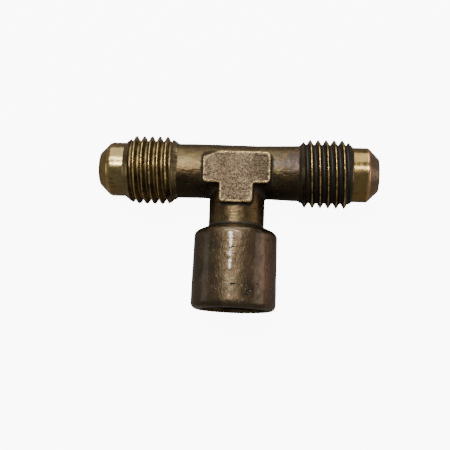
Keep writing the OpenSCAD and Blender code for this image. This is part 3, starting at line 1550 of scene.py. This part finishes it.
@dataclass
class Dressing:
    """Gives every area of the tee its finish, by the place of its faces."""

    tee: TeeBody
    body: bpy.types.Object
    rim: float = 0.16
    below_stem: float = 0.3
    sliver: float = 0.02
    past_cone: float = 0.06
    past_bore: float = 0.1

    def areas(self) -> np.ndarray:
        """Sorts the faces by their centres.

        Returns:
            The number of each face's area.
        """
        mesh = self.body.data
        centres = np.zeros(len(mesh.polygons) * 3)
        mesh.polygons.foreach_get("center", centres)
        x, y, z = centres.reshape(-1, 3).T
        run_r, branch_r = np.hypot(y, z), np.hypot(x, z)
        tee = self.tee
        neck_end = tee.barrel.mouth - tee.barrel.length
        found = np.full(len(x), Area.ARMS.value)
        found[y < -neck_end] = Area.BARREL.value
        on_pads = y >= -tee.pads.drop - self.below_stem
        on_pads &= np.abs(z) > tee.pads_across / 2 - self.rim
        found[on_pads] = Area.PADS.value
        for end, sign, thread, nose, cone in (
                (tee.left, -1, Area.THREAD_LEFT, Area.NOSE_LEFT, Area.NOSE_LEFT),
                (tee.right, 1, Area.THREAD_RIGHT, Area.NOSE_RIGHT, Area.CONE_RIGHT)):
            along = sign * x
            found[along > end.thread_start + self.sliver] = thread.value
            found[along > end.nose_start - self.sliver] = nose.value
            found[along > end.cone_start + self.past_cone] = cone.value
        found[run_r < tee.passage_r + self.past_cone] = Area.BORES.value
        in_branch = (y < -3) & (y > self.sliver - tee.barrel.mouth)
        in_branch &= branch_r < tee.drillings.mouth_r + self.past_bore
        in_hole = (branch_r < tee.passage_r + self.past_bore) | (y < -neck_end)
        found[in_branch & in_hole] = Area.BORES.value
        return found

    def apply(self) -> None:
        """Gives the faces their slots and the slots their materials."""
        effects, choice, mesh = Effects(), finishes(), self.body.data
        mesh.materials.clear()
        for area in Area:
            mesh.materials.append(choice[area].dress(effects))
        mesh.polygons.foreach_set("material_index", self.areas().astype(np.int32))


# --- The studio --------------------------------------------------------------------------------


@dataclass(frozen=True)
class Lamp:
    """One soft light: which way it is from the tee, how far, how large and how strong.

    Args:
        name: The light's name.
        towards: The way to it from the tee.
        distance: How far off it is, in metres.
        width: Its size across the tee's run.
        height: Its size the other way.
        power: Its power in watts.
        colour: Its colour.
    """

    name: str
    towards: Triple
    distance: float
    width: float
    height: float
    power: float
    colour: Colour = (1.0, 1.0, 1.0)

    def hang(self, aim: Vector) -> None:
        """Hangs the light and turns it to the tee.

        Args:
            aim: The place that it lights, in metres.
        """
        lamp = bpy.data.lights.new(self.name, "AREA")
        lamp.shape = "RECTANGLE"
        lamp.size, lamp.size_y = self.width, self.height
        lamp.energy = self.power
        lamp.color = self.colour
        holder = bpy.data.objects.new(self.name, lamp)
        bpy.context.scene.collection.objects.link(holder)
        way = Vector(self.towards).normalized()
        holder.location = aim + way * self.distance
        holder.rotation_euler = way.to_track_quat("Z", "Y").to_euler()


@dataclass
class Studio:
    """The pale floor, the soft lights and the camera."""

    floor_height: float
    camera_at: Triple = (0.0076, -0.0328, 0.1313)
    aim: Triple = (-0.0018, -0.00876, 0.0)
    roll: float = 0.0422
    lens: float = 66.7
    glow: float = 9.0

    def two_faced(self, graph: Graph, seen: bpy.types.NodeSocket, lit: bpy.types.NodeSocket
                  ) -> bpy.types.NodeSocket:
        """Shows one shader to the camera and has another one light the tee."""
        path = graph.add("LightPath").outputs["Is Camera Ray"]
        return graph.add("MixShader", {0: path, 1: lit, 2: seen}).outputs[0]

    def floor(self) -> bpy.types.Object:
        """Lays the floor.

        Returns:
            The floor.
        """
        bpy.ops.mesh.primitive_plane_add(size=3.0, location=(0, 0, self.floor_height))
        floor = fresh("floor")
        material = bpy.data.materials.new("pale_floor")
        material.use_nodes = True
        graph = Graph(material.node_tree)
        seen = graph.add("BsdfDiffuse", {"Color": (0.86, 0.86, 0.86, 1.0)})
        glow = graph.add("Emission", {"Color": (1.0, 1.0, 1.0, 1.0), "Strength": self.glow})
        bright = graph.add("AddShader", {0: seen.outputs[0], 1: glow.outputs[0]})
        dim = graph.add("BsdfDiffuse", {"Color": (0.22, 0.20, 0.18, 1.0)})
        sheet = self.two_faced(graph, bright.outputs[0], dim.outputs[0])
        graph.add("OutputMaterial", {"Surface": sheet})
        floor.data.materials.append(material)
        return floor

    def lights(self) -> None:
        """Hangs the lights and sets the dim room behind them."""
        aim = Vector(self.aim)
        lamps = (Lamp("window", (-0.17, 0.21, 0.97), 0.35, 0.045, 0.045, 0.34),
                 Lamp("left_window", (-0.22, 0.56, 0.80), 0.4, 0.16, 0.08, 0.50),
                 Lamp("right_window", (0.14, 0.32, 0.94), 0.4, 0.14, 0.05, 0.26),
                 Lamp("ceiling", (0.0, 0.93, 0.36), 0.5, 0.45, 0.45, 1.1),
                 Lamp("right_card", (0.95, 0.0, 0.22), 0.35, 0.22, 0.22, 0.17, (1.0, 0.93, 0.86)),
                 Lamp("left_card", (-0.95, 0.0, 0.12), 0.3, 0.12, 0.12, 0.03))
        for lamp in lamps:
            lamp.hang(aim)
        world = bpy.data.worlds.new("room")
        world.use_nodes = True
        graph = Graph(world.node_tree)
        room = graph.add("Background", {"Color": (0.2, 0.2, 0.2, 1.0)})
        seen = graph.add("Background", {"Color": (1.0, 1.0, 1.0, 1.0), "Strength": self.glow})
        graph.add("OutputWorld", {"Surface": self.two_faced(graph, seen.outputs[0],
                                                            room.outputs[0])})
        bpy.context.scene.world = world

    def camera(self) -> None:
        """Sets up the camera, looking down on the tee from just past the branch's mouth."""
        camera = bpy.data.cameras.new("camera")
        camera.lens = self.lens
        camera.sensor_width = 36.0
        camera.clip_start = 0.01
        holder = bpy.data.objects.new("camera", camera)
        bpy.context.scene.collection.objects.link(holder)
        ahead = (Vector(self.aim) - Vector(self.camera_at)).normalized()
        level = ahead.cross(Vector((0, 1, 0))).normalized()
        upright = level.cross(ahead)
        right = math.cos(self.roll) * level + math.sin(self.roll) * upright
        up = math.cos(self.roll) * upright - math.sin(self.roll) * level
        turn = Matrix((right, up, -ahead)).transposed().to_4x4()
        holder.matrix_world = Matrix.Translation(self.camera_at) @ turn
        bpy.context.scene.camera = holder


def main() -> None:
    """Builds the tee, dresses it and sets the scene round it."""
    logging.basicConfig(level=logging.INFO, format="%(name)s: %(message)s")
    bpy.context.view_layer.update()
    low, high = (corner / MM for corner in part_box("tee_body"))
    tee = TeeBody(low, high, passage_r=2.38, pads_across=10.5)
    body = tee.build()
    log.info("body: %d faces", len(body.data.polygons))
    WearMap(body).measure()
    Dressing(tee, body).apply()
    take(body)
    bpy.ops.object.shade_smooth_by_angle(angle=math.radians(35))
    body.scale = (MM, MM, MM)
    bpy.ops.object.transform_apply(location=False, rotation=False, scale=True)
    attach(body, "root")
    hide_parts("tee_body")
    studio = Studio(floor_height=low.z * MM)
    studio.floor()
    studio.lights()
    studio.camera()


if __name__ == "__main__":
    main()
